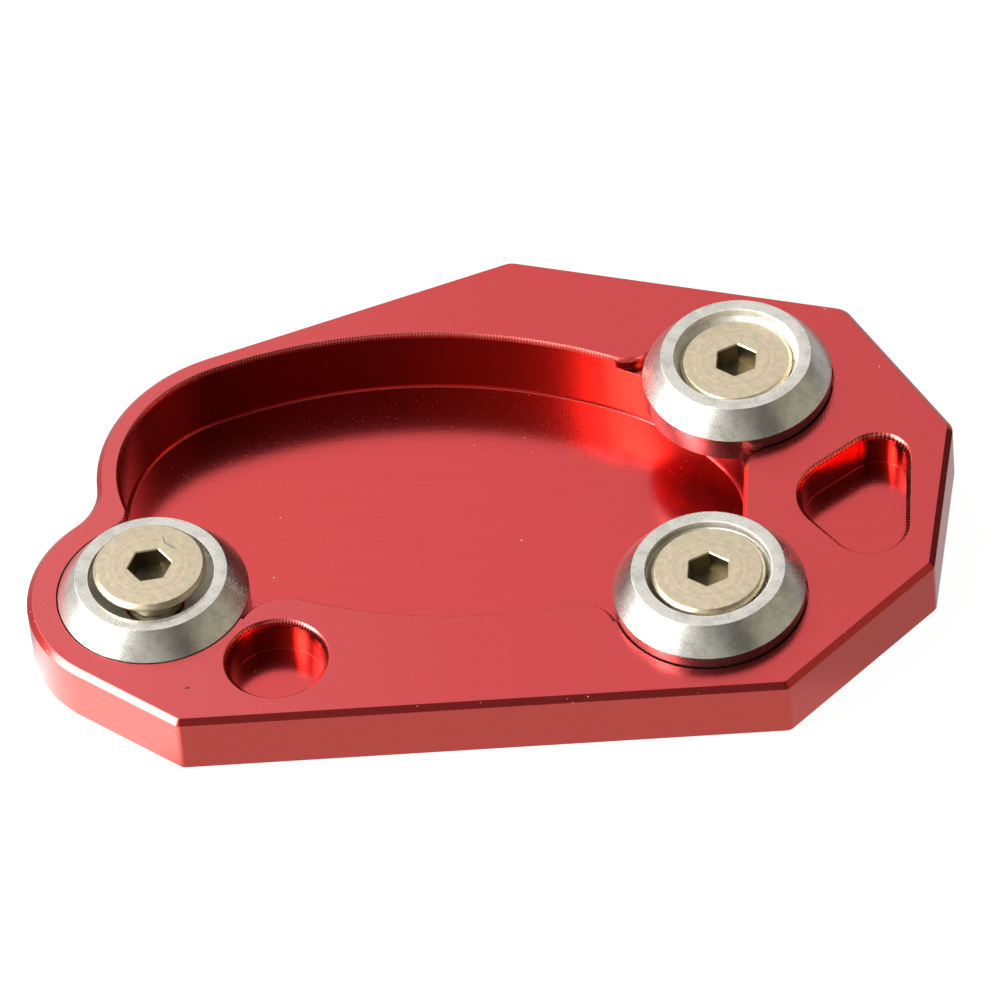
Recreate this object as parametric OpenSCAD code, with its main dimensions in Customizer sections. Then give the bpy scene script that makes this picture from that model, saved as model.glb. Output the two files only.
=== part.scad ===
// Foot enlarger for a motorcycle side stand: a milled plate with an open pocket for the stand's
// foot, held in it by three cone-edged clamp washers on countersunk socket screws.
// Millimetres, +Z up. The origin is the centre of the plate's box, on the ground face.

/* [Plate] */
// Length, from the left lobe to the right corner
plate_l = 97.2; // [94:0.1:110]
// Width, from the front edge to the back apex
plate_w = 63.4; // [60:0.1:72]
// Thickness
plate_t = 10; // [9.2:0.1:16]
// Width of the 45 degree bevel round the top face
edge_bevel = 0.6; // [0.2:0.1:1]
// Width of the 45 degree bevel round the ground face
base_bevel = 3.1; // [0.4:0.1:4]
// Radius of the three corners on the front side
front_corner_r = 1; // [0.5:0.1:4]
// Radius of the three corners on the back side
back_corner_r = 2; // [0.5:0.1:5]
// Front left corner, in from the left end
front_left_in = 16.1; // [13:0.1:19]
// Front right corner, in from the right end
front_right_in = 19.2; // [17:0.1:22]
// Right front corner, in from the right end
right_front_in = 3.9; // [2:0.1:6]
// Right front corner, back from the front edge
right_front_up = 16; // [13:0.1:19]
// Right corner, forward from the back apex
right_down = 28.6; // [25:0.1:32]
// Back right corner, in from the right end
back_right_in = 11.7; // [9:0.1:14]
// Back right corner, forward from the back apex
back_right_down = 11.7; // [9:0.1:14]
// Back apex, in from the right end
apex_in = 45.8; // [40:0.1:50]
// Radius of the hollow between the two left lobes
waist_r = 6; // [3:0.1:9]
// Wall outside the left seat
seat_wall = 3.1; // [2:0.1:5]
// Wall outside the left end of the pocket
pocket_wall = 2.5; // [1.5:0.1:5]

/* [Foot pocket] */
// Thickness of the floor under the stand's foot
floor_t = 2.2; // [1:0.1:4]
// Width of the bevel round the pocket's top edge
pocket_bevel = 0.4; // [0.1:0.05:0.7]
// Width of the bevel between the wall and the floor
floor_bevel = 0.25; // [0.05:0.05:0.8]
// Radius of the left end
left_end_r = 14.9; // [13:0.1:16.5]
// Centre of the left end, right of the left seat
left_end_x = 11.25; // [10:0.05:12.5]
// Centre of the left end, back from the left seat
left_end_y = 17.1; // [15.5:0.05:18.5]
// Radius of the shallow front and back sides
side_r = 54; // [50:0.5:64]
// Radius of the back right shoulder
shoulder_r = 29.2; // [28:0.1:31]
// Centre of the shoulder, left of the back seat
shoulder_x = 26; // [25:0.05:27]
// Centre of the shoulder, forward from the back seat
shoulder_y = 21.7; // [20.5:0.05:22.5]
// Radius of the upper right end
right_end_r = 12; // [10:0.1:14]
// Direction from the shoulder's centre to that of the upper right end
right_end_turn = 34.4; // [31:0.1:37]
// Radius of the front right corner
toe_r = 8; // [6.5:0.1:9.5]
// Centre of the front right corner, left of the front seat
toe_x = 4.2; // [3:0.05:5.5]
// Centre of the front right corner, back from the front seat
toe_y = 11.5; // [10.5:0.05:12.5]
// Radius of the horns left between the pocket and the seats
horn_r = 2.5; // [1.2:0.1:3.2]
// Radius of the horn at the front of the left seat
left_horn_r = 5; // [2:0.1:6]
// Radius of the horn at the left of the front seat
front_horn_r = 4; // [2:0.1:5]
// Radius of the horn at the left of the back seat
back_horn_r = 4; // [2:0.1:5]

/* [Washer seats] */
// Gap between a washer's rim and the wall of its seat
seat_gap = 0.15; // [0.05:0.05:0.4]
// Depth of the left seat
flush_seat_t = 2.7; // [1.5:0.05:3.4]
// Depth of the front and back seats
proud_seat_t = 1.25; // [0.8:0.05:2.6]
// Left seat, back from the front edge
left_seat_up = 18.5; // [17:0.1:20]
// Front seat, in from the right end
front_seat_in = 26.25; // [25:0.05:27.5]
// Front seat, back from the front edge
front_seat_up = 13.05; // [12.8:0.05:14.5]
// Back seat, in from the right end
back_seat_in = 22.2; // [21:0.05:23.5]
// Back seat, forward from the back apex
back_seat_down = 20.2; // [19:0.05:21.5]

/* [Small pockets] */
// Depth of the round pocket and the bean pocket
small_t = 4; // [2:0.1:6]
// Width of their top bevels
small_bevel = 0.5; // [0.1:0.05:0.8]
// Radius of the round pocket
round_r = 5; // [3:0.1:5.6]
// Round pocket, in from the left end
round_in = 26; // [25:0.1:30]
// Round pocket, back from the front edge
round_up = 8.1; // [7:0.1:9]
// Radius of the bean pocket's back end
bean_back_r = 3.1; // [2:0.1:3.6]
// Radius of the bean pocket's left side
bean_side_r = 5.2; // [4:0.1:5.8]
// Radius of the bean pocket's front end
bean_front_r = 3.8; // [2.5:0.1:4.6]
// Bean pocket's left side, in from the right end
bean_in = 11.1; // [10.5:0.1:12]
// Bean pocket's left side, back from the front edge
bean_up = 26.3; // [25.5:0.1:28]
// From the bean pocket's left side to its back end
bean_back = [3, 4.8]; // [2:0.1:6]
// From the bean pocket's left side to its front end
bean_front = [1.7, -4.5]; // [-6:0.1:3]

/* [Clamp washers] */
// Outer radius
washer_r = 10; // [9:0.05:10.2]
// Height of the straight rim
rim_t = 2.7; // [1.5:0.05:4]
// Height of the cone above the rim
cone_t = 2.75; // [2:0.05:4]
// Outer radius of the flat ring on top
ring_r = 7.95; // [7.2:0.05:8.6]
// Radius of the sunk mouth
mouth_r = 6.55; // [6.1:0.05:7]
// Straight depth of the mouth
mouth_t = 0.9; // [0.7:0.05:1.4]
// Gap between the screw and its hole
hole_gap = 0.3; // [0.1:0.05:0.6]

/* [Screws] */
// Radius of the thread
thread_r = 2.95; // [2.4:0.05:3]
// Overall length
screw_l = 12; // [8:0.5:12.5]
// Radius of the head
head_r = 5.9; // [5:0.05:6]
// Bevel on the edge of the head
head_bevel = 0.35; // [0.1:0.05:0.5]
// Straight rim of the head
head_rim = 0.35; // [0.1:0.05:0.6]
// Bevel on the end of the thread
tip_bevel = 0.6; // [0.2:0.1:1]
// Socket, across the flats
socket_af = 4; // [3:0.1:4.5]
// Depth of the socket's flats
socket_t = 2.4; // [1.5:0.1:2.8]
// Height of the cone at the bottom of the socket
socket_cone = 0.7; // [0.2:0.1:1]
// Gap between the thread and the plate
thread_gap = 0.05; // [0.02:0.01:0.2]
// Gap between the head and the washer's cone on a tight screw
head_gap = 0.05; // [0.02:0.01:0.2]
// How far the left, back and front screws are backed out
screw_lift = [2.15, 0, 0.7]; // [0:0.05:3]
// Turn of the left, back and front sockets
screw_turn = [7, 24, 25]; // [0:1:60]

/* [Hidden] */
$fn = 96;
// Largest distance between an arc and its chords
chord_tol = 0.01;
// Length by which a cut reaches past the face that it opens
over = 0.5;
// Smallest radius of a bevelled corner
keen_r = 0.2;
// Depth by which a horn's round crosses the walls that it joins, so that they meet at an angle
bite = 0.03;

left_x = -plate_l / 2;
right_x = plate_l / 2;
front_y = -plate_w / 2;
back_y = plate_w / 2;

seat_r = washer_r + seat_gap;
left_seat = [left_x + seat_wall + seat_r, front_y + left_seat_up];
front_seat = [right_x - front_seat_in, front_y + front_seat_up];
back_seat = [right_x - back_seat_in, back_y - back_seat_down];

washer_t = rim_t + cone_t;
head_cone = head_bevel + head_rim;
// Depth of a tight screw's face below the washer's ring
head_sink = mouth_t + (mouth_r - head_r) - head_cone - head_gap;

// An outline is a belt that runs anticlockwise round circles [x, y, radius, turn], joined by
// straight tangents. It bends to the left round a circle of turn 1, to the right round turn -1.

// Angle brought into 0 to 360
function wrap(a) = a - 360 * floor(a / 360);
// Offset between the two circles that a tangent has to cover
function skew(a, b) = a[3] * a.z - b[3] * b.z;
function reach(a, b) = norm([b.x - a.x, b.y - a.y]);
// Heading and length of the tangent from circle a to circle b
function heading(a, b) =
    atan2(b.y - a.y, b.x - a.x) + asin(max(-1, min(1, skew(a, b) / reach(a, b))));
function run(a, b) = sqrt(max(0, pow(reach(a, b), 2) - pow(skew(a, b), 2)));
// Unit vector to the right of a heading
function side(h) = [sin(h), -cos(h)];

// Headings at which a circle gets a point, on whole steps
function stops(c, h, turn, first) =
    let (
        step = 360 / ceil(180 / acos(1 - chord_tol / c.z)),
        way = turn < 0 ? -1 : 1,
        from = floor(way * h / step) + 1,
        to = ceil(way * (h + turn) / step) - 1
    )
    [
        if (first) h,
        for (k = [from : 1 : to])
            if (k * step - way * h > step / 4 && way * (h + turn) - k * step > step / 4)
                way * k * step,
        h + turn
    ];

// Points of a belt that stands out by grow, with corners no keener than keen_r
function belt(c, grow = 0) = [
    for (i = [0 : len(c) - 1])
        let (
            past = c[(i + len(c) - 1) % len(c)],
            next = c[(i + 1) % len(c)],
            s = c[i][3],
            h = heading(past, c[i]),
            bend = wrap(s * (heading(c[i], next) - h)),
            turn = bend > 355 ? 0 : s * bend,
            r = c[i].z + s * grow,
            short = s > 0 ? max(0, keen_r - r) : 0,
            centre = [c[i].x, c[i].y] - short * (side(h) + side(h + turn)) / (1 + cos(turn))
        )
        for (a = stops(c[i], h, turn, run(past, c[i]) > chord_tol))
            centre + s * (r + short) * side(a)
];

// Solid between the belts at levels [z, grow], which its middle point sees all round
module loft(c, levels) {
    rings = [for (v = levels) belt(c, v[1])];
    n = len(rings[0]);
    top = len(levels) - 1;
    middle = [for (i = [1 : n]) 1 / n] * rings[0];
    polyhedron(
        points = [
            for (j = [0 : top]) for (p = rings[j]) [p.x, p.y, levels[j][0]],
            [middle.x, middle.y, levels[0][0]], [middle.x, middle.y, levels[top][0]]
        ],
        faces = [for (i = [0 : n - 1]) let (k = (i + 1) % n) each [
            [i, k, (top + 1) * n],
            [top * n + k, top * n + i, (top + 1) * n + 1],
            for (j = [0 : top - 1]) [j * n + i, (j + 1) * n + i, (j + 1) * n + k, j * n + k]
        ]]
    );
}

// Centre at distances ra and rb from a and b, to the left of the line from a to b or its right
function meet(a, ra, b, rb, left) =
    let (
        d = [b.x - a.x, b.y - a.y],
        u = d / norm(d),
        along = (ra * ra - rb * rb + d * d) / (2 * norm(d)),
        across = (left ? 1 : -1) * sqrt(max(0, ra * ra - along * along))
    )
    [a.x, a.y] + along * u + across * [-u.y, u.x];

// Arc of radius r that both circles lie inside
function bridge(a, b, r, left) = [each meet(a, r - a.z, b, r - b.z, left), r, 1];
left_end = [left_seat.x + left_end_x, left_seat.y + left_end_y, left_end_r, 1];
shoulder = [back_seat.x - shoulder_x, back_seat.y - shoulder_y, shoulder_r, 1];
right_end = [
    shoulder.x + (shoulder_r - right_end_r) * cos(right_end_turn),
    shoulder.y + (shoulder_r - right_end_r) * sin(right_end_turn),
    right_end_r, 1
];
toe = [front_seat.x - toe_x, front_seat.y + toe_y, toe_r, 1];
back_side = bridge(left_end, shoulder, side_r, false);
front_side = bridge(left_end, toe, side_r, true);

foot_pocket = [front_side, toe, right_end, shoulder, back_side, left_end];

seat_lobe_r = seat_r + seat_wall;
end_lobe_r = left_end_r + pocket_wall;
outline = [
    [left_x + front_left_in, front_y + front_corner_r, front_corner_r, 1],
    [right_x - front_right_in, front_y + front_corner_r, front_corner_r, 1],
    [right_x - right_front_in, front_y + right_front_up, front_corner_r, 1],
    [right_x - back_corner_r, back_y - right_down, back_corner_r, 1],
    [right_x - back_right_in, back_y - back_right_down, back_corner_r, 1],
    [right_x - apex_in, back_y - back_corner_r, back_corner_r, 1],
    [left_end.x, left_end.y, end_lobe_r, 1],
    [each meet(left_end, end_lobe_r + waist_r, left_seat, seat_lobe_r + waist_r, false), waist_r, -1],
    [each left_seat, seat_lobe_r, 1]
];

bean_at = [right_x - bean_in, front_y + bean_up];
bean = [
    [each bean_at + bean_back, bean_back_r, 1],
    [each bean_at, bean_side_r, 1],
    [each bean_at + bean_front, bean_front_r, 1]
];

module pocket_cut() {
    loft(foot_pocket, [
        [floor_t, -floor_bevel], [floor_t + floor_bevel, 0],
        [plate_t - pocket_bevel, 0], [plate_t + over, pocket_bevel + over]
    ]);
}

// Rounds the horn between a circle of the pocket and a seat, down to the seat's depth. Its round
// has its centre in the plate, to the left or the right of the way from the circle to the seat.
module horn_cut(a, seat, depth, r, left) {
    seat_circle = [each seat, seat_r];
    horn = meet(a, a.z + r - bite, seat_circle, seat_r + r - bite, left);
    tip = meet(a, a.z, seat_circle, seat_r, left);
    from = atan2(a.y - horn.y, a.x - horn.x);
    to = atan2(seat.y - horn.y, seat.x - horn.x);
    translate([horn.x, horn.y, plate_t])
        rotate_extrude(angle = wrap(left ? to - from : from - to), start = left ? from : to)
            polygon([
                [r, -depth], [norm(tip - horn) + over, -depth], [norm(tip - horn) + over, over],
                [r - pocket_bevel - over, over], [r, -pocket_bevel]
            ]);
}

module seat_cut(at, depth) {
    translate([at.x, at.y, plate_t - depth]) cylinder(r = seat_r, h = depth + over);
    translate([at.x, at.y, -over]) cylinder(r = thread_r + thread_gap, h = plate_t);
}

module round_cut() {
    translate([left_x + round_in, front_y + round_up, plate_t]) rotate_extrude() polygon([
        [0, -small_t], [round_r, -small_t], [round_r, -small_bevel],
        [round_r + small_bevel + over, over], [0, over]
    ]);
}

module bean_cut() {
    loft(bean, [
        [plate_t - small_t, 0], [plate_t - small_bevel, 0], [plate_t + over, small_bevel + over]
    ]);
}

module base_plate() {
    color("#c8484c") difference() {
        loft(outline, [
            [0, -base_bevel], [base_bevel, 0], [plate_t - edge_bevel, 0], [plate_t, -edge_bevel]
        ]);
        pocket_cut();
        horn_cut(left_end, left_seat, flush_seat_t, horn_r, false);
        horn_cut(front_side, left_seat, flush_seat_t, left_horn_r, true);
        horn_cut(front_side, front_seat, proud_seat_t, front_horn_r, false);
        horn_cut(toe, front_seat, proud_seat_t, horn_r, true);
        horn_cut(right_end, back_seat, proud_seat_t, horn_r, false);
        horn_cut(shoulder, back_seat, proud_seat_t, back_horn_r, true);
        seat_cut(left_seat, flush_seat_t);
        seat_cut(back_seat, proud_seat_t);
        seat_cut(front_seat, proud_seat_t);
        round_cut();
        bean_cut();
    }
}

module washer() {
    hole_r = thread_r + hole_gap;
    cone_end = washer_t - mouth_t - (mouth_r - hole_r);
    color("#d4d3cc") rotate_extrude() polygon([
        [hole_r, 0], [washer_r, 0], [washer_r, rim_t], [ring_r, washer_t], [mouth_r, washer_t],
        [mouth_r, washer_t - mouth_t], [hole_r, cone_end]
    ]);
}

module screw() {
    color("#cfc5ab") difference() {
        rotate_extrude() polygon([
            [0, 0], [0, -screw_l], [thread_r - tip_bevel, -screw_l], [thread_r, tip_bevel - screw_l],
            [thread_r, thread_r - head_r - head_cone], [head_r, -head_cone], [head_r, -head_bevel],
            [head_r - head_bevel, 0]
        ]);
        translate([0, 0, -socket_t]) cylinder(d = socket_af / cos(30), h = socket_t + over, $fn = 6);
        translate([0, 0, -socket_t - socket_cone])
            cylinder(r1 = 0, r2 = socket_af / 2 - chord_tol, h = socket_cone);
    }
}

module washer_at(at, depth) {
    translate([at.x, at.y, plate_t - depth]) washer();
}

module screw_at(at, depth, i) {
    translate([at.x, at.y, plate_t - depth + washer_t - head_sink + screw_lift[i]])
        rotate(screw_turn[i]) screw();
}

base_plate();
washer_at(left_seat, flush_seat_t);  // washer_left
washer_at(back_seat, proud_seat_t);  // washer_back
washer_at(front_seat, proud_seat_t);  // washer_front
screw_at(left_seat, flush_seat_t, 0);  // screw_left
screw_at(back_seat, proud_seat_t, 1);  // screw_back
screw_at(front_seat, proud_seat_t, 2);  // screw_front
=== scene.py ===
import math

import bmesh
import bpy
from mathutils import Matrix, Vector


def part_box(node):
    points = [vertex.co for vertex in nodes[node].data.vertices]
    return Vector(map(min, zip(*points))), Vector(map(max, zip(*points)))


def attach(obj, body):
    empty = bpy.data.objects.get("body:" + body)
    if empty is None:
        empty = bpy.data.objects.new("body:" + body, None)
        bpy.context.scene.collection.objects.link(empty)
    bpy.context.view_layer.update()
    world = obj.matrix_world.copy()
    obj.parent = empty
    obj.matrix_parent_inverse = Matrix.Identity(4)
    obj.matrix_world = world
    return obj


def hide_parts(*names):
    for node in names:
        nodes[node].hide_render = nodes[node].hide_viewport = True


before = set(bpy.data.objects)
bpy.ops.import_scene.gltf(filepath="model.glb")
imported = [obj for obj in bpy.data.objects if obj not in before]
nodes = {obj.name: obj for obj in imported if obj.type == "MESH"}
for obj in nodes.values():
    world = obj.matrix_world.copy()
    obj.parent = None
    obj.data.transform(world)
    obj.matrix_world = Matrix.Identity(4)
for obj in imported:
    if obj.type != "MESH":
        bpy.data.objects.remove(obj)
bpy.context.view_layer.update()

print("frame loaded:", ", ".join(sorted(nodes)))


class Wire:
    # an output socket; arithmetic on it adds Math nodes to its tree
    def __init__(self, board, socket):
        self.board, self.socket = board, socket

    def of(self, name):  # another output of the same node
        return Wire(self.board, self.socket.node.outputs[name])

    def __add__(self, other):
        return self.board.math("ADD", self, other)

    def __sub__(self, other):
        return self.board.math("SUBTRACT", self, other)

    def __rsub__(self, other):
        return self.board.math("SUBTRACT", other, self)

    def __mul__(self, other):
        return self.board.math("MULTIPLY", self, other)

    def __truediv__(self, other):
        return self.board.math("DIVIDE", self, other)

    def __pow__(self, other):
        return self.board.math("POWER", self, other)

    __radd__ = __add__
    __rmul__ = __mul__


class Board:
    # a node tree with one way to put a node on it
    def __init__(self, tree):
        self.tree = tree
        tree.nodes.clear()

    def add(self, kind, settings=None, inputs=None, output=0):
        node = self.tree.nodes.new(kind)
        for name, value in (settings or {}).items():
            setattr(node, name, value)
        for name, value in (inputs or {}).items():
            if isinstance(value, Wire):
                self.tree.links.new(value.socket, node.inputs[name])
            else:
                node.inputs[name].default_value = value
        return Wire(self, node.outputs[output]) if len(node.outputs) else None

    def math(self, operation, *values):
        return self.add("ShaderNodeMath", {"operation": operation}, dict(enumerate(values)))

    def vector(self, operation, inputs, output=0):
        return self.add("ShaderNodeVectorMath", {"operation": operation}, inputs, output)

    def stretch(self, place, factors):
        return self.vector("MULTIPLY", {0: place, 1: factors})

    def shade(self, colour, factor):
        return self.vector("SCALE", {0: colour, "Scale": factor})

    def split(self, place):  # gives X; of("Y") and of("Z") give the others
        return self.add("ShaderNodeSeparateXYZ", None, {0: place})

    def join(self, x, y=0.0, z=0.0):
        return self.add("ShaderNodeCombineXYZ", None, {0: x, 1: y, 2: z})

    def span(self, value, low, high, start=0.0, end=1.0):  # a soft step from start to end
        return self.add("ShaderNodeMapRange", {"interpolation_type": "SMOOTHSTEP"},
                        {0: value, 1: low, 2: high, 3: start, 4: end})

    def blend(self, factor, first, second):  # two colours
        return self.add("ShaderNodeMix", {"data_type": "RGBA"},
                        {0: factor, 6: first, 7: second}, 2)

    def noise(self, place, scale, detail=2.0, rough=0.5):
        return self.add("ShaderNodeTexNoise", None, {
            "Vector": place, "Scale": scale, "Detail": detail, "Roughness": rough})


def newMaterial(name):
    material = bpy.data.materials.new(name)
    material.use_nodes = True
    return material, Board(material.node_tree)


def inMillimetres(board):
    place = board.add("ShaderNodeTexCoord", output="Object")
    return board.stretch(place, (1000, 1000, 1000))


def closeMaterial(board, sockets):
    surface = board.add("ShaderNodeBsdfPrincipled", None, sockets)
    board.add("ShaderNodeOutputMaterial", None, {"Surface": surface})


def addObject(name, data):
    thing = bpy.data.objects.new(name, data)
    bpy.context.scene.collection.objects.link(thing)
    return thing


# A long lens, 47 degrees above the plate, as the photograph was taken
cameraFacts = {
    "place": (0.033034, -0.615546, 0.667927),
    "right": (0.997427, -0.021293, -0.068452),
    "up": (0.062179, 0.732186, 0.678261),
    "lens": 310.016,
    "sensor": 36.0,
    "clip": (0.05, 20),
}


def makeCamera(facts):
    data = bpy.data.cameras.new("camera")
    data.lens, data.sensor_width = facts["lens"], facts["sensor"]
    data.clip_start, data.clip_end = facts["clip"]
    camera = addObject("camera", data)
    right, up = Vector(facts["right"]), Vector(facts["up"])
    turn = Matrix((right, up, right.cross(up))).transposed().to_4x4()
    camera.matrix_world = Matrix.Translation(facts["place"]) @ turn
    bpy.context.scene.camera = camera


makeCamera(cameraFacts)
print("camera made")


# Soft studio light: a dim room, a window behind and above, a bright leaning softbox at the left.
# Each glow: azimuth and elevation it comes from, inner and outer edge in degrees, strength, colour
studio = {
    "room": (0.07, (1.0, 0.98, 0.9)),
    "glows": {
        "window": (100, 50, 12, 62, 0.79, (1.0, 0.98, 0.97)),
        "softbox": (-164, 20, 5, 22, 17.0, (1.0, 0.99, 0.97)),
        "softboxTop": (-152, 43, 6, 13, 24.0, (1.0, 0.99, 0.97)),
        "sideWindow": (150, 50, 8, 22, 3.5, (1.0, 0.98, 0.97)),
        "spill": (-140, 30, 15, 42, 0.3, (1.0, 0.97, 0.93)),
        "leftWall": (180, 20, 12, 60, 0.8, (1.0, 0.97, 1.0)),
        "frontWall": (-95, -2, 16, 38, 0.42, (1.0, 1.0, 0.86)),
        "frontSky": (-93, 42, 5, 34, 0.08, (1.0, 0.98, 0.95)),
        "rightWall": (-14, 12, 12, 45, 0.32, (1.0, 0.95, 0.70)),
    },
    "floor": (0.8, 0.8, 0.79),
    "reach": 3.0,              # metres from the middle to each side of the paper
    "drop": 0.00005,           # metres the paper lies under the plate
    "paper": (1.08, 0.9),      # how white it looks, and how much of that is its own
    # How bright the paper beside the plate is in the metal: as a rule, then at the left with the
    # X and Y between which that sets in, then at the right with the X values
    "nearSheet": 0.66,
    "leftSheet": (2.4, -33.0, -40.0, -9.0, -17.0),
    "rightSheet": (0.5, 36.0, 42.0),
}


def direction(azimuth, elevation):
    a, e = math.radians(azimuth), math.radians(elevation)
    return (math.cos(a) * math.cos(e), math.sin(a) * math.cos(e), math.sin(e))


def makeWorld(facts):
    world = bpy.data.worlds.new("studio")
    bpy.context.scene.world = world
    world.use_nodes = True
    board = Board(world.node_tree)
    way = board.add("ShaderNodeTexCoord", output="Generated")
    strength, tint = facts["room"]
    light = tuple(strength * c for c in tint)
    for azimuth, elevation, inner, outer, glow, colour in facts["glows"].values():
        toward = board.vector("DOT_PRODUCT", {0: way, 1: direction(azimuth, elevation)}, "Value")
        amount = board.span(toward, math.cos(math.radians(outer)), math.cos(math.radians(inner)))
        added = board.shade(tuple(glow * c for c in colour), amount)
        light = board.vector("ADD", {0: light, 1: added})
    lit = board.add("ShaderNodeBackground", None, {"Color": light, "Strength": 1.0})
    white = board.add("ShaderNodeBackground", None, {"Color": (1, 1, 1, 1), "Strength": 1.0})
    seen = board.add("ShaderNodeLightPath", output="Is Camera Ray")
    both = board.add("ShaderNodeMixShader", None, {0: seen, 1: lit, 2: white})
    board.add("ShaderNodeOutputWorld", None, {"Surface": both})


def makeFloor(facts):
    mesh = bpy.data.meshes.new("floor")
    far, z = facts["reach"], -facts["drop"]
    mesh.from_pydata([(-far, -far, z), (far, -far, z), (far, far, z), (-far, far, z)], [],
                     [(0, 1, 2, 3)])
    floor = addObject("floor", mesh)
    material, board = newMaterial("palePaper")
    x = board.split(inMillimetres(board))
    path = board.add("ShaderNodeLightPath", output="Is Camera Ray")
    near = facts["nearSheet"]
    bright, x0, x1, y0, y1 = facts["leftSheet"]
    left = board.span(x, x0, x1) * board.span(x.of("Y"), y0, y1)
    dim, x0, x1 = facts["rightSheet"]
    right = board.span(x, x0, x1)
    sheet = near + left * (bright - near) + right * (dim - near)
    gloss = board.add("ShaderNodeEmission", None, {
        "Color": board.shade((1, 1, 1), sheet), "Strength": 1.0})
    plain = board.add("ShaderNodeBsdfDiffuse", None, {"Color": (*facts["floor"], 1)})
    strength, share = facts["paper"]
    white = board.add("ShaderNodeEmission", None, {"Color": (1, 1, 1, 1), "Strength": strength})
    shaded = board.add("ShaderNodeMixShader", None, {0: share, 1: plain, 2: white})
    mirrored = board.add("ShaderNodeMixShader", None, {
        0: path.of("Is Glossy Ray"), 1: plain, 2: gloss})
    surface = board.add("ShaderNodeMixShader", None, {0: path, 1: mirrored, 2: shaded})
    board.add("ShaderNodeOutputMaterial", None, {"Surface": surface})
    mesh.materials.append(material)


makeWorld(studio)
makeFloor(studio)
bpy.context.scene.view_settings.view_transform = "Standard"
print("studio made")


# The plate's red anodising, one part for each kind of surface. Sizes are in millimetres, soft
# edges and relief depths in metres. Noises are given by scale, detail and roughness, specks and
# pits by their scale and the noise value past which they show.
anodised = {
    "softEdge": (0.0001, 5),       # radius, samples
    "coatRoughness": 0.25,
    "speckEdge": 0.03,             # how soft a speck's edge is
    "top": {
        # paintedShadeSpan: painted shade, the tone drops by one over this many millimetres towards
        # +X
        "colour": (0.72, 0.086, 0.09), "tone": 1.01, "paintedShadeSpan": 600.0,
        "pitch": 0.3, "curve": 60.0,                # of the face mill's marks
        "stray": (0.15, 1), "strayBy": 0.5,
        "markTone": 0.05, "markRelief": 0.3,
        "patchStretch": (0.5, 0.07, 1), "patchNoise": (1.0, 3),
        "patches": (0.35, 0.7, 0.15, 1.0),          # where the marks are weak and strong
        "grain": (5.5, 3, 0.7), "grainTone": 0.4, "grainRelief": 0.8,
        "specks": (1.1, 0.8), "speckColour": (0.9, 0.5, 0.5, 1),
        "nick": ((-31.9, -26.94), (-31.6, -26.94), 0.17), "nickTone": 0.75,
        # paintedSheen and its colour: a painted sheen, paler towards the left, where the softbox
        # lies
        "paintedSheen": (5, -50, 0, 0.05), "paintedSheenColour": (0.9, 0.9, 0.95, 1),   # towards the left lobe
        "roughness": 0.25, "depth": 0.00001, "coat": 0.12,
    },
    "floor": {
        # paintedShadeSpan: painted shade, darker towards +X as on the top
        "colour": (0.72, 0.086, 0.09), "tone": 1.07, "paintedShadeSpan": 400.0,
        "lineStretch": (0.09, 4.0, 1), "lines": (1.0, 3, 0.6), "lineTone": 0.16, "lineRelief": 0.5,
        "grain": (5.5, 3, 0.7), "grainTone": 0.36, "grainRelief": 0.8,
        "specks": (1.3, 0.79), "speckColour": (1.0, 0.55, 0.5, 1),
        "pits": (3.2, 0.72), "pitRoughness": 0.2,
        "roughness": 0.18, "depth": 0.000005, "coat": 0.0,
    },
    "side": {
        "colour": (0.70, 0.098, 0.082), "tone": 1.0,
        "lineStretch": (0.12, 0.12, 5.0), "lines": (1.0, 2), "lineTone": 0.06, "lineRelief": 0.5,
        "grain": (5.0, 3, 0.7), "grainTone": 0.34, "grainRelief": 0.5,
        "roughness": 0.2, "depth": 0.000004, "coat": 0.1,
    },
    "innerWall": {
        # a much darker red than the outer side's: painted shade in the pockets
        "colour": (0.32, 0.042, 0.024), "tone": 1.0,
        "lineStretch": (0.5, 0.5, 0.04), "lines": (2.0, 2), "lineTone": 0.1, "lineRelief": 1.0,
        "grain": (5.0, 3, 0.7), "grainTone": 0.25, "grainRelief": 0.3,
        "roughness": 0.19, "depth": 0.000004, "coat": 0.0,
    },
    "bevel": {
        "colour": (0.70, 0.062, 0.058), "tone": 0.85,
        "grain": (4.0, 3, 0.7), "grainTone": 0.3,
        "specks": (2.6, 0.76), "speckColour": (0.9, 0.6, 0.55, 1), "speckRoughness": 0.3,
        "roughness": 0.2, "depth": 0.000004, "coat": 0.1,
    },
    "cutBevel": {
        "colour": (0.70, 0.098, 0.082), "tone": 1.0,
        "pitch": 0.32,                              # of the marks that a chattering cutter left
        "stray": (0.8, 1), "strayBy": 0.2, "markTone": 0.25,
        "patchNoise": (0.3, 2), "patches": (0.3, 0.6, 0.4, 1.0),
        "grain": (5.0, 3, 0.7), "grainTone": 0.3,
        "ridge": (-0.2, 0.8),                       # the part of a mark that stands up and is worn
        # worn and wornAndHighlightColour: the raised marks paler, partly wear and partly a painted
        # highlight
        "worn": 0.35, "wornAndHighlightColour": (0.85, 0.42, 0.40, 1), "wornRoughness": 0.1,
        "roughness": 0.22, "depth": 0.0000035, "coat": 0.0,
        "ending": 2.0,                              # length in which the marks fade out
        "dulling": (-10, 8, 0.22, 0.4),             # duller from X to X, and how rough
    },
}


def softEdge(board, radius, samples):
    return board.add("ShaderNodeBevel", {"samples": samples}, {"Radius": radius})


def swing(pattern, amount):  # a noise made to go as far below zero as above it
    return (pattern - 0.5) * amount


def wave(board, value, pitch):
    return board.math("SINE", value * (2 * math.pi / pitch))


def specks(board, place, scale, limit):  # few and small
    return board.span(board.noise(place, scale, 1), limit, limit + anodised["speckEdge"])


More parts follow.
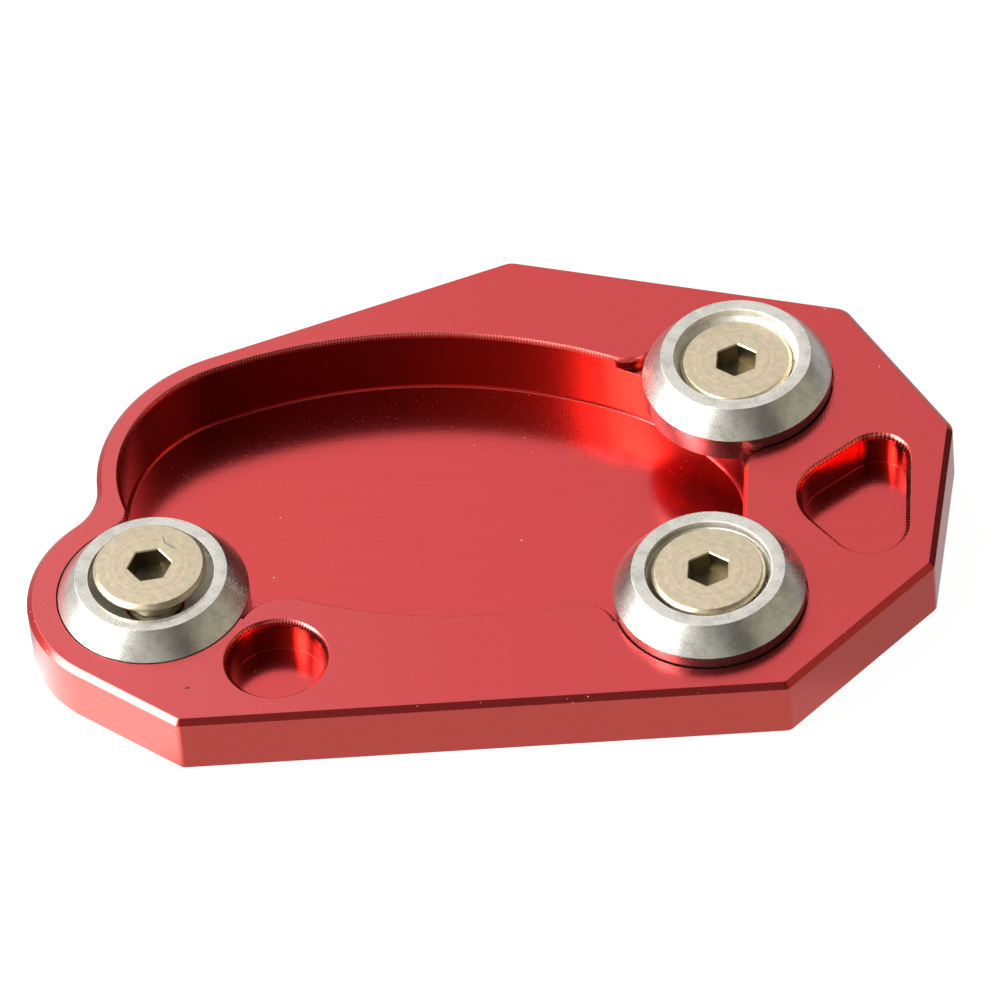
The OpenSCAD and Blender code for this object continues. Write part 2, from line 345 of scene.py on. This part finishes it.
def scratch(board, place, start, end, width, core=0.4):
    # 1 along a line between two points seen from above, 0 off it; core is the share at full depth
    start, end = Vector((*start, 0)), Vector((*end, 0))
    length, way = (end - start).length, tuple((end - start).normalized())
    aside = board.vector("SUBTRACT", {0: board.stretch(place, (1, 1, 0)), 1: tuple(start)})
    reached = board.vector("DOT_PRODUCT", {0: aside, 1: way}, "Value")
    reached = board.math("MINIMUM", board.math("MAXIMUM", reached, 0.0), length)
    gap = board.vector("DISTANCE", {0: aside, 1: board.shade(way, reached)}, "Value")
    return board.span(gap, width, width * core)


def closeRed(board, facts, colour, roughness, relief):
    normal = board.add("ShaderNodeBump", None, {
        "Strength": 1.0, "Distance": facts["depth"], "Height": relief,
        "Normal": softEdge(board, *anodised["softEdge"])})
    closeMaterial(board, {
        "Base Color": colour, "Metallic": 1.0, "Roughness": roughness, "Normal": normal,
        "Coat Weight": facts["coat"], "Coat Roughness": anodised["coatRoughness"]})


def redTop(facts):
    # the face mill's curved marks, fine grain, a few specks and one nick; a painted sheen towards
    # the left and painted shade towards the right
    material, board = newMaterial("redTop")
    place = inMillimetres(board)
    x = board.split(place)
    y = x.of("Y")
    stray = board.noise(place, *facts["stray"]) * facts["strayBy"]
    marks = wave(board, x - y * y / (2 * facts["curve"]) + stray, facts["pitch"])
    patches = board.noise(board.stretch(place, facts["patchStretch"]), *facts["patchNoise"])
    patches = board.span(patches, *facts["patches"])
    grain = board.noise(place, *facts["grain"])
    tone = facts["tone"] + marks * patches * facts["markTone"] + swing(grain, facts["grainTone"])
    nick = scratch(board, place, *facts["nick"]) * facts["nickTone"]
    # painted shade: darker towards the right, lighter towards the left
    tone = (tone - x / facts["paintedShadeSpan"]) * (1.0 - nick)
    colour = board.blend(specks(board, place, *facts["specks"]),
                         board.shade(facts["colour"], tone), facts["speckColour"])
    # painted sheen: paler towards the left
    colour = board.blend(board.span(x, *facts["paintedSheen"]), colour, facts["paintedSheenColour"])
    relief = marks * patches * facts["markRelief"] + grain * facts["grainRelief"]
    closeRed(board, facts, colour, facts["roughness"], relief)
    return material


def linedRed(board, place, facts):
    # the tone and the relief of a face with a cutter's faint lines and fine grain
    lines = board.noise(board.stretch(place, facts["lineStretch"]), *facts["lines"])
    grain = board.noise(place, *facts["grain"])
    tone = facts["tone"] + swing(lines, facts["lineTone"]) + swing(grain, facts["grainTone"])
    return tone, lines * facts["lineRelief"] + grain * facts["grainRelief"]


def redFloor(facts):
    # an end mill's long lines, with specks and shallow pits, and painted shade towards the right
    material, board = newMaterial("redFloor")
    place = inMillimetres(board)
    tone, relief = linedRed(board, place, facts)
    # painted shade: darker towards the right
    tone = tone - board.split(place) / facts["paintedShadeSpan"]
    colour = board.blend(specks(board, place, *facts["specks"]),
                         board.shade(facts["colour"], tone), facts["speckColour"])
    pits = specks(board, place, *facts["pits"])
    closeRed(board, facts, colour, facts["roughness"] + pits * facts["pitRoughness"], relief)
    return material


def redWall(name, facts):
    material, board = newMaterial(name)
    tone, relief = linedRed(board, inMillimetres(board), facts)
    closeRed(board, facts, board.shade(facts["colour"], tone), facts["roughness"], relief)
    return material


def redBevel(facts):
    material, board = newMaterial("redBevel")
    place = inMillimetres(board)
    grain = board.noise(place, *facts["grain"])
    nicks = specks(board, place, *facts["specks"])
    tone = facts["tone"] + grain * facts["grainTone"]
    colour = board.blend(nicks, board.shade(facts["colour"], tone), facts["speckColour"])
    closeRed(board, facts, colour, facts["roughness"] + nicks * facts["speckRoughness"], grain)
    return material


def cutBevel(name, facts, cut):
    # a bevel with the marks of a cutter that chattered, at right angles to its edge
    material, board = newMaterial(name)
    place = inMillimetres(board)
    x = board.split(place)
    middleX, middleY = cut["centre"]
    along = board.math("ARCTAN2", x.of("Y") - middleY, x - middleX) * cut["radius"]
    if "straight" in cut:
        along = along + (x - along) * board.math("GREATER_THAN", x, cut["straight"])
    stray = board.noise(place, *facts["stray"]) * facts["strayBy"]
    marks = wave(board, along + stray, facts["pitch"])
    patches = board.span(board.noise(place, *facts["patchNoise"]), *facts["patches"])
    roughness = facts["roughness"]
    if "end" in cut:
        patches = patches * board.span(x, cut["end"], cut["end"] - facts["ending"])
        roughness = board.span(x, *facts["dulling"])
    grain = board.noise(place, *facts["grain"])
    tone = facts["tone"] + marks * patches * facts["markTone"] + swing(grain, facts["grainTone"])
    ridges = board.span(marks, *facts["ridge"]) * patches
    # the raised marks paler: partly wear, partly a painted highlight
    colour = board.blend(ridges * facts["worn"], board.shade(facts["colour"], tone),
                         facts["wornAndHighlightColour"])
    closeRed(board, facts, colour, ridges * facts["wornRoughness"] + roughness, marks * patches)
    return material


# Where each cut bevel's marks are measured: round a centre, at a radius. Past the X value
# straight the edge runs about along X, and the marks fade out up to the X value end.
cuts = {
    "pocketBevel": {"centre": (-24.1, 3.9), "radius": 15.1, "straight": -24.1, "end": 14.0},
    "roundBevel": {"centre": (-22.6, -23.6), "radius": 5.25},
    "beanBevel": {"centre": (39.2, -5.6), "radius": 5.8},
}
red = {
    "top": redTop(anodised["top"]),
    "floor": redFloor(anodised["floor"]),
    "wall": redWall("redSide", anodised["side"]),
    "innerWall": redWall("redInnerWallPaintedShade", anodised["innerWall"]),
    "bevel": redBevel(anodised["bevel"]),
}
for name, cut in cuts.items():
    red[name] = cutBevel(name, anodised["cutBevel"], cut)
print("anodised finishes made")


plate = {
    "merge": 0.000001,     # metres
    "flat": 0.3,           # degrees under which faces are joined
    "smooth": 24.0,        # degrees over which an edge is sharp
    "level": 0.95,         # a normal's Z past which a face is level
    "leaning": 0.5,        # past which it is a bevel
    "hanging": -0.2,       # under which it belongs to the bevel round the ground face
    "near": 0.05,          # millimetres of play when heights are compared
    "outerBevel": 0.6,     # height of the bevel round the outline, in millimetres
    "smallBevel": 0.5,     # of the bevels of the round and the bean pocket
    "order": ("top", "floor", "wall", "innerWall", "bevel", "pocketBevel", "roundBevel",
              "beanBevel"),
}


def plateZone(facts, face, top):
    # which finish a face of the plate gets, from its normal and its lowest and highest point
    low = min(v.co.z for v in face.verts) * 1000
    high = max(v.co.z for v in face.verts) * 1000
    rise, near = face.normal.z, facts["near"]
    if rise > facts["level"]:
        return "top" if low > top - near else "floor"
    if rise < -facts["level"]:
        return "top"
    if rise > facts["leaning"]:
        if high <= top - near or low < top - facts["outerBevel"] + near:
            return "bevel"
        if low < top - facts["smallBevel"] + near:
            return "roundBevel" if face.calc_center_median().x < 0 else "beanBevel"
        return "pocketBevel"
    if rise < facts["hanging"] or abs(high - (top - facts["outerBevel"])) < near:
        return "wall"
    return "innerWall"


def buildPlateSkin(facts):
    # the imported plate's own surface in one piece, with a finish for each zone
    source = nodes["base_plate"]
    mesh = bpy.data.meshes.new("plateSkin")
    shape = bmesh.new()
    shape.from_mesh(source.data)
    bmesh.ops.remove_doubles(shape, verts=shape.verts, dist=facts["merge"])
    bmesh.ops.dissolve_limit(shape, angle_limit=math.radians(facts["flat"]),
                             verts=shape.verts, edges=shape.edges)
    shape.normal_update()
    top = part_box("base_plate")[1].z * 1000
    for face in shape.faces:
        face.material_index = facts["order"].index(plateZone(facts, face, top))
    shape.to_mesh(mesh)
    shape.free()
    for name in facts["order"]:
        mesh.materials.append(red[name])
    mesh.shade_smooth()
    mesh.set_sharp_from_angle(angle=math.radians(facts["smooth"]))
    skin = addObject("plateSkin", mesh)
    skin.modifiers.new("evenShading", "WEIGHTED_NORMAL").keep_sharp = True
    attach(skin, "root")
    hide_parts("base_plate")
    print("plate skin:", len(mesh.polygons), "faces")


buildPlateSkin(plate)


turning = {
    "merge": 0.000002,     # metres
    "arc": 5,              # points on a rounded corner of a profile
    "reach": 0.45,         # how much of a profile's edge its rounding may take
}


def turnedTree(facts):
    # turns a profile, whose points lie in the XZ plane, round the Z axis. Points with the
    # attribute hexagon follow a hexagon's flats, points with the attribute thread a helix; own
    # keeps each point's place on the piece, for the materials.
    group = bpy.data.node_groups.new("turned", "GeometryNodeTree")
    group.interface.new_socket("Geometry", in_out="OUTPUT", socket_type="NodeSocketGeometry")
    for name, kind in (("Profile", "Geometry"), ("Segments", "Int"), ("Centre", "Vector"),
                       ("Turn", "Float"), ("Thread Pitch", "Float"), ("Thread Depth", "Float"),
                       ("Finish", "Material")):
        group.interface.new_socket(name, in_out="INPUT", socket_type="NodeSocket" + kind)
    board = Board(group)
    profile = board.add("NodeGroupInput", output="Profile")
    count = board.add("GeometryNodeAttributeDomainSize", {"component": "MESH"},
                      {"Geometry": profile}, "Point Count")
    grid = board.add("GeometryNodeMeshGrid", None, {
        "Size X": 1.0, "Size Y": 1.0, "Vertices X": count,
        "Vertices Y": profile.of("Segments") + 1})
    spot = board.add("GeometryNodeInputPosition")
    u = board.split(spot)
    row = board.math("ROUND", (u + 0.5) * (count - 1))
    angle = (u.of("Y") + 0.5) * (2 * math.pi)

    def sampled(value, kind):
        return board.add("GeometryNodeSampleIndex", {"data_type": kind, "domain": "POINT"},
                         {"Geometry": profile, "Value": value, "Index": row})

    def flag(name):
        mark = board.add("GeometryNodeInputNamedAttribute", {"data_type": "FLOAT"}, {"Name": name})
        return sampled(mark, "FLOAT")

    here = board.split(sampled(spot, "FLOAT_VECTOR"))
    height = here.of("Z")
    sixth = math.pi / 3
    corner = board.math("FRACT", angle / sixth) * sixth - sixth / 2
    flats = here / board.math("COSINE", corner)
    shaped = here + (flats - here) * flag("hexagon")
    lead = height / profile.of("Thread Pitch") - angle / (2 * math.pi)
    ridge = board.math("ABSOLUTE", board.math("FRACT", lead) - 0.5) * 2
    radius = shaped - ridge * profile.of("Thread Depth") * flag("thread")
    turned = angle + profile.of("Turn")
    around = board.join(radius * board.math("COSINE", turned),
                        radius * board.math("SINE", turned), height)
    placed = board.add("GeometryNodeSetPosition", None, {"Geometry": grid, "Position": around})
    noted = board.add("GeometryNodeStoreNamedAttribute",
                      {"data_type": "FLOAT_VECTOR", "domain": "POINT"},
                      {"Geometry": placed, "Name": "own", "Value": spot})
    moved = board.add("GeometryNodeSetPosition", None, {
        "Geometry": noted, "Offset": profile.of("Centre")})
    closed = board.add("GeometryNodeMergeByDistance", None, {
        "Geometry": moved, "Distance": facts["merge"]})
    real = board.add("GeometryNodeRealizeInstances", None, {"Geometry": closed})
    painted = board.add("GeometryNodeSetMaterial", None, {
        "Geometry": real, "Material": profile.of("Finish")})
    board.add("NodeGroupOutput", None, {"Geometry": painted})
    return group


def eased(points, rounds):
    # the profile with corners rounded; rounds gives their radii by number. On a closed profile
    # the last point, which is the first one again, is rounded towards the second.
    out = []
    for i, point in enumerate(points):
        if i not in rounds:
            out.append(point)
            continue
        after = points[i + 1] if i < len(points) - 1 else points[1]
        here = Vector(point[:2])
        a = Vector(points[i - 1][:2]) - here
        b = Vector(after[:2]) - here
        most = turning["reach"]
        back = min(rounds[i] / math.tan(a.angle(b) / 2), a.length * most, b.length * most)
        start, end = here + a.normalized() * back, here + b.normalized() * back
        for k in range(turning["arc"]):
            t = k / (turning["arc"] - 1)
            spot = start * (1 - t) ** 2 + here * 2 * t * (1 - t) + end * t * t
            out.append((spot.x, spot.y, point[2]))
    return out


def turnedPiece(name, points, facts, inputs):
    # points: (radius, height, mark) in millimetres, from the top's middle outwards and down
    mesh = bpy.data.meshes.new(name + "Profile")
    mesh.from_pydata([(r / 1000, 0, z / 1000) for r, z, mark in points],
                     [(i, i + 1) for i in range(len(points) - 1)], [])
    for mark in ("hexagon", "thread"):
        values = mesh.attributes.new(mark, "FLOAT", "POINT")
        values.data.foreach_set("value", [1.0 if p[2] == mark else 0.0 for p in points])
    profile = addObject(name + "Profile", mesh)
    turner = profile.modifiers.new("turning", "NODES")
    turner.node_group = lathe
    sockets = {s.name: s.identifier for s in lathe.interface.items_tree if s.in_out == "INPUT"}
    for key, value in inputs.items():
        turner[sockets[key]] = value
    profile.update_tag()
    view = bpy.context.evaluated_depsgraph_get()
    solid = bpy.data.meshes.new_from_object(profile.evaluated_get(view))
    bpy.data.objects.remove(profile)
    solid.name = name
    solid.shade_smooth()
    solid.set_sharp_from_angle(angle=math.radians(facts["smooth"]))
    piece = addObject(name, solid)
    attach(piece, "root")
    print(name + ":", len(solid.polygons), "faces")
    return piece


lathe = turnedTree(turning)


def ownPlace(board):  # in millimetres from the middle of the piece's own seat or head
    own = board.add("ShaderNodeAttribute", {"attribute_name": "own"}, None, "Vector")
    return board.stretch(own, (1000, 1000, 1000))


def fromAxis(board, own):  # X, which gives the other parts too, and the distance from the axis
    x = board.split(own)
    y = x.of("Y")
    return x, (x * x + y * y) ** 0.5


# The washers: turned grooves round them, short streaks down the flank, a mottled stain, and a
# rim and underside darkened as painted shade. Units as for the anodising.
bright = {
    "colour": (0.82, 0.80, 0.74), "stained": (0.62, 0.62, 0.56),
    "softEdge": (0.00006, 4), "depth": 0.000009,
    "slope": 0.75, "close": 3.0,        # how the grooves follow the cone, how close they are
    "grooves": (2.0, 4, 0.7), "grooveRelief": 0.5,
    "around": 9.0, "down": 0.55,        # how close the streaks are, how short
    "streaks": (5.0, 3, 0.7), "streakTone": 0.4, "streakRelief": 0.5,
    "grain": (6.0, 4, 0.75), "grainTone": 0.25, "grainRelief": 0.25,
    "stain": (0.45, 5, 0.7), "stains": (0.4, 0.68),
    "mouth": (6.75, 6.55), "mouthRoughness": 0.35,      # inside this radius
    # painted shade: the rim's outer face darker
    "rimHeight": (2.75, 2.65), "rimRadius": (9.8, 9.9), "rimPaintedShade": 0.65,
    # painted shade: the underside darker
    "under": (0.0, 0.06, 0.45, 1.0),    # between these heights, the tone goes from dark to full
    "roughness": 0.2, "streakRoughness": 0.16,
}

# The screws: tumbled, with faint turning on the head and a scratch on the left one; the socket
# and the thread are darkened as painted shade.
tumbled = {
    "colour": (0.72, 0.62, 0.44), "paintedShadeColour": (0.24, 0.205, 0.13), "tone": 0.97,
    "softEdge": (0.00006, 4), "depth": 0.00001,
    "close": 1.5, "grooves": (2.0, 3, 0.7), "grooveTone": 0.6, "grooveRelief": 0.6,
    "blotches": (1.1, 5, 0.7), "blotchTone": 0.7, "blotchRelief": 0.7, "blotchRoughness": 0.15,
    "grain": (6.0, 3, 0.75), "grainTone": 0.3, "grainRelief": 0.3,
    "scratches": (((-33.95, -9.4), (-33.74, -10.3), 0.09),
                  ((-33.74, -10.3), (-32.7, -11.1), 0.09)),
    "scratchHeight": (-0.3, -0.1), "scratchTone": 0.6,
    # painted shade in the socket and down the thread
    "socketHeight": (-0.16, -0.3), "socketRadius": (2.6, 2.4),
    "threadHeight": (-0.85, -1.2), "threadRadius": (2.2, 2.4), "threadPaintedShade": 0.75,
    "roughness": 0.28,
}


def closeMetal(board, facts, colour, roughness, relief):
    normal = board.add("ShaderNodeBump", None, {
        "Strength": 1.0, "Distance": facts["depth"], "Height": relief,
        "Normal": softEdge(board, *facts["softEdge"])})
    closeMaterial(board, {
        "Base Color": colour, "Metallic": 1.0, "Normal": normal, "Roughness": roughness})


def brightAluminium(facts):
    material, board = newMaterial("turnedAluminium")
    own = ownPlace(board)
    x, radius = fromAxis(board, own)
    z = x.of("Z")
    angle = board.math("ARCTAN2", x.of("Y"), x)
    rings = board.join((radius - z * facts["slope"]) * facts["close"])
    grooves = board.noise(rings, *facts["grooves"])
    flank = board.join(angle * facts["around"], (radius - z) * facts["down"])
    streaks = board.noise(flank, *facts["streaks"])
    grain = board.noise(own, *facts["grain"])
    stain = board.span(board.noise(own, *facts["stain"]), *facts["stains"])
    mouth = board.span(radius, *facts["mouth"])
    rim = board.span(z, *facts["rimHeight"]) * board.span(radius, *facts["rimRadius"])
    tone = 1.0 + swing(grain, facts["grainTone"]) + swing(streaks, facts["streakTone"])
    # painted shade on the underside and on the rim
    tone = tone * board.span(z, *facts["under"]) * (1.0 - rim * facts["rimPaintedShade"])
    colour = board.blend(stain, board.shade(facts["colour"], tone),
                         board.shade(facts["stained"], tone))
    roughness = (facts["roughness"] + streaks * facts["streakRoughness"]
                 + mouth * facts["mouthRoughness"])
    relief = (grooves * facts["grooveRelief"] + streaks * facts["streakRelief"]
              + grain * facts["grainRelief"])
    closeMetal(board, facts, colour, roughness, relief)
    return material


def screwSteel(facts):
    material, board = newMaterial("tumbledSteel")
    own = ownPlace(board)
    x, radius = fromAxis(board, own)
    z = x.of("Z")
    grooves = board.noise(board.join(radius * facts["close"]), *facts["grooves"])
    blotches = board.noise(own, *facts["blotches"])
    grain = board.noise(own, *facts["grain"])
    place = inMillimetres(board)
    lines = [scratch(board, place, *line) for line in facts["scratches"]]
    worn = board.math("MAXIMUM", *lines) * board.span(z, *facts["scratchHeight"])
    tone = (facts["tone"] + swing(grooves, facts["grooveTone"])
            + swing(blotches, facts["blotchTone"]) + swing(grain, facts["grainTone"]))
    tone = tone * (1.0 - worn * facts["scratchTone"])
    # painted shade in the socket and down the thread under the head
    inside = board.span(z, *facts["socketHeight"]) * board.span(radius, *facts["socketRadius"])
    under = board.span(z, *facts["threadHeight"]) * board.span(radius, *facts["threadRadius"])
    paintedShadeMask = board.math("MAXIMUM", inside, under * facts["threadPaintedShade"])
    colour = board.blend(paintedShadeMask, board.shade(facts["colour"], tone),
                         board.shade(facts["paintedShadeColour"], tone))
    relief = (grooves * facts["grooveRelief"] + blotches * facts["blotchRelief"]
              + grain * facts["grainRelief"])
    closeMetal(board, facts, colour, facts["roughness"] + blotches * facts["blotchRoughness"],
               relief)
    return material


aluminium = brightAluminium(bright)
steel = screwSteel(tumbled)

# Millimetres; rounds gives, for each corner that is eased, its share of the ease
washer = {
    "outer": 10.0, "rim": 2.7, "height": 5.45, "ring": 7.95, "mouth": 6.55, "mouthDepth": 0.9,
    "bore": 3.25, "segments": 144, "smooth": 30.0,
    "ease": 0.12, "rounds": {1: 1.0, 2: 1.0, 3: 1.0, 5: 1.0, 6: 0.5, 7: 0.6},
}


def buildWashers(facts):
    height, mouth, bore = facts["height"], facts["mouth"], facts["bore"]
    ledge = height - facts["mouthDepth"]
    points = [
        (mouth, height, ""), (facts["ring"], height, ""), (facts["outer"], facts["rim"], ""),
        (facts["outer"], 0.0, ""), (bore, 0.0, ""), (bore, ledge - (mouth - bore), ""),
        (mouth, ledge, ""), (mouth, height, ""),
    ]
    points = eased(points, {i: facts["ease"] * share for i, share in facts["rounds"].items()})
    points[0] = points[-1]
    for name in ("left", "back", "front"):
        node = "washer_" + name
        low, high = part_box(node)
        centre = (low + high) / 2
        piece = turnedPiece("washer" + name.capitalize(), points, facts, {
            "Segments": facts["segments"], "Centre": (centre.x, centre.y, low.z),
            "Finish": aluminium})
        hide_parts(node)


buildWashers(washer)

# Millimetres, and degrees for each screw's turn
screw = {
    "head": 5.9, "headBevel": 0.35, "headRim": 0.35, "thread": 2.95, "length": 12.0, "tip": 0.6,
    "socket": 2.0, "socketDepth": 2.4, "socketCone": 0.7, "socketStep": 0.02,
    "lip": (0.1, 0.12), "lipReach": 0.75,       # the broken edge round the socket
    "pitch": 1.0, "threadDepth": 0.45, "threadRows": 60, "threadGaps": (0.3, 0.1),
    "turn": {"left": 7, "back": 24, "front": 25},
    "segments": 144, "smooth": 30.0, "ease": 0.1,
}


def buildScrews(facts):
    head, socket, thread = facts["head"], facts["socket"], facts["thread"]
    shoulder = facts["headBevel"] + facts["headRim"]
    neck = shoulder + head - thread
    depth, last = facts["socketDepth"], facts["length"] - facts["tip"]
    lipOut, lipDown = facts["lip"]
    points = [
        (0.0, -depth - facts["socketCone"], ""),
        (socket - facts["socketStep"], -depth, ""),
        (socket, -depth, "hexagon"),
        (socket, -lipDown, "hexagon"),
        (socket + lipOut, 0.0, "hexagon"),
        (socket + facts["lipReach"], 0.0, ""),
        (head - facts["headBevel"], 0.0, ""),
        (head, -facts["headBevel"], ""),
        (head, -shoulder, ""),
        (thread, -neck, ""),
    ]
    points = eased(points, {6: facts["ease"], 7: facts["ease"], 8: facts["ease"]})
    rows, gaps = facts["threadRows"], facts["threadGaps"]
    start, end = neck + gaps[0], last - gaps[1]
    points += [(thread, -(start + (end - start) * k / rows), "thread") for k in range(rows + 1)]
    points += [(thread, -last, ""), (thread - facts["tip"], -facts["length"], ""),
               (0.0, -facts["length"], "")]
    for name in ("left", "back", "front"):
        node = "screw_" + name
        low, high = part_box(node)
        centre = (low + high) / 2
        piece = turnedPiece("screw" + name.capitalize(), points, facts, {
            "Segments": facts["segments"], "Centre": (centre.x, centre.y, high.z),
            "Turn": math.radians(facts["turn"][name]), "Thread Pitch": facts["pitch"] / 1000,
            "Thread Depth": facts["threadDepth"] / 1000, "Finish": steel})
        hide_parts(node)


buildScrews(screw)
print("washers and screws made")
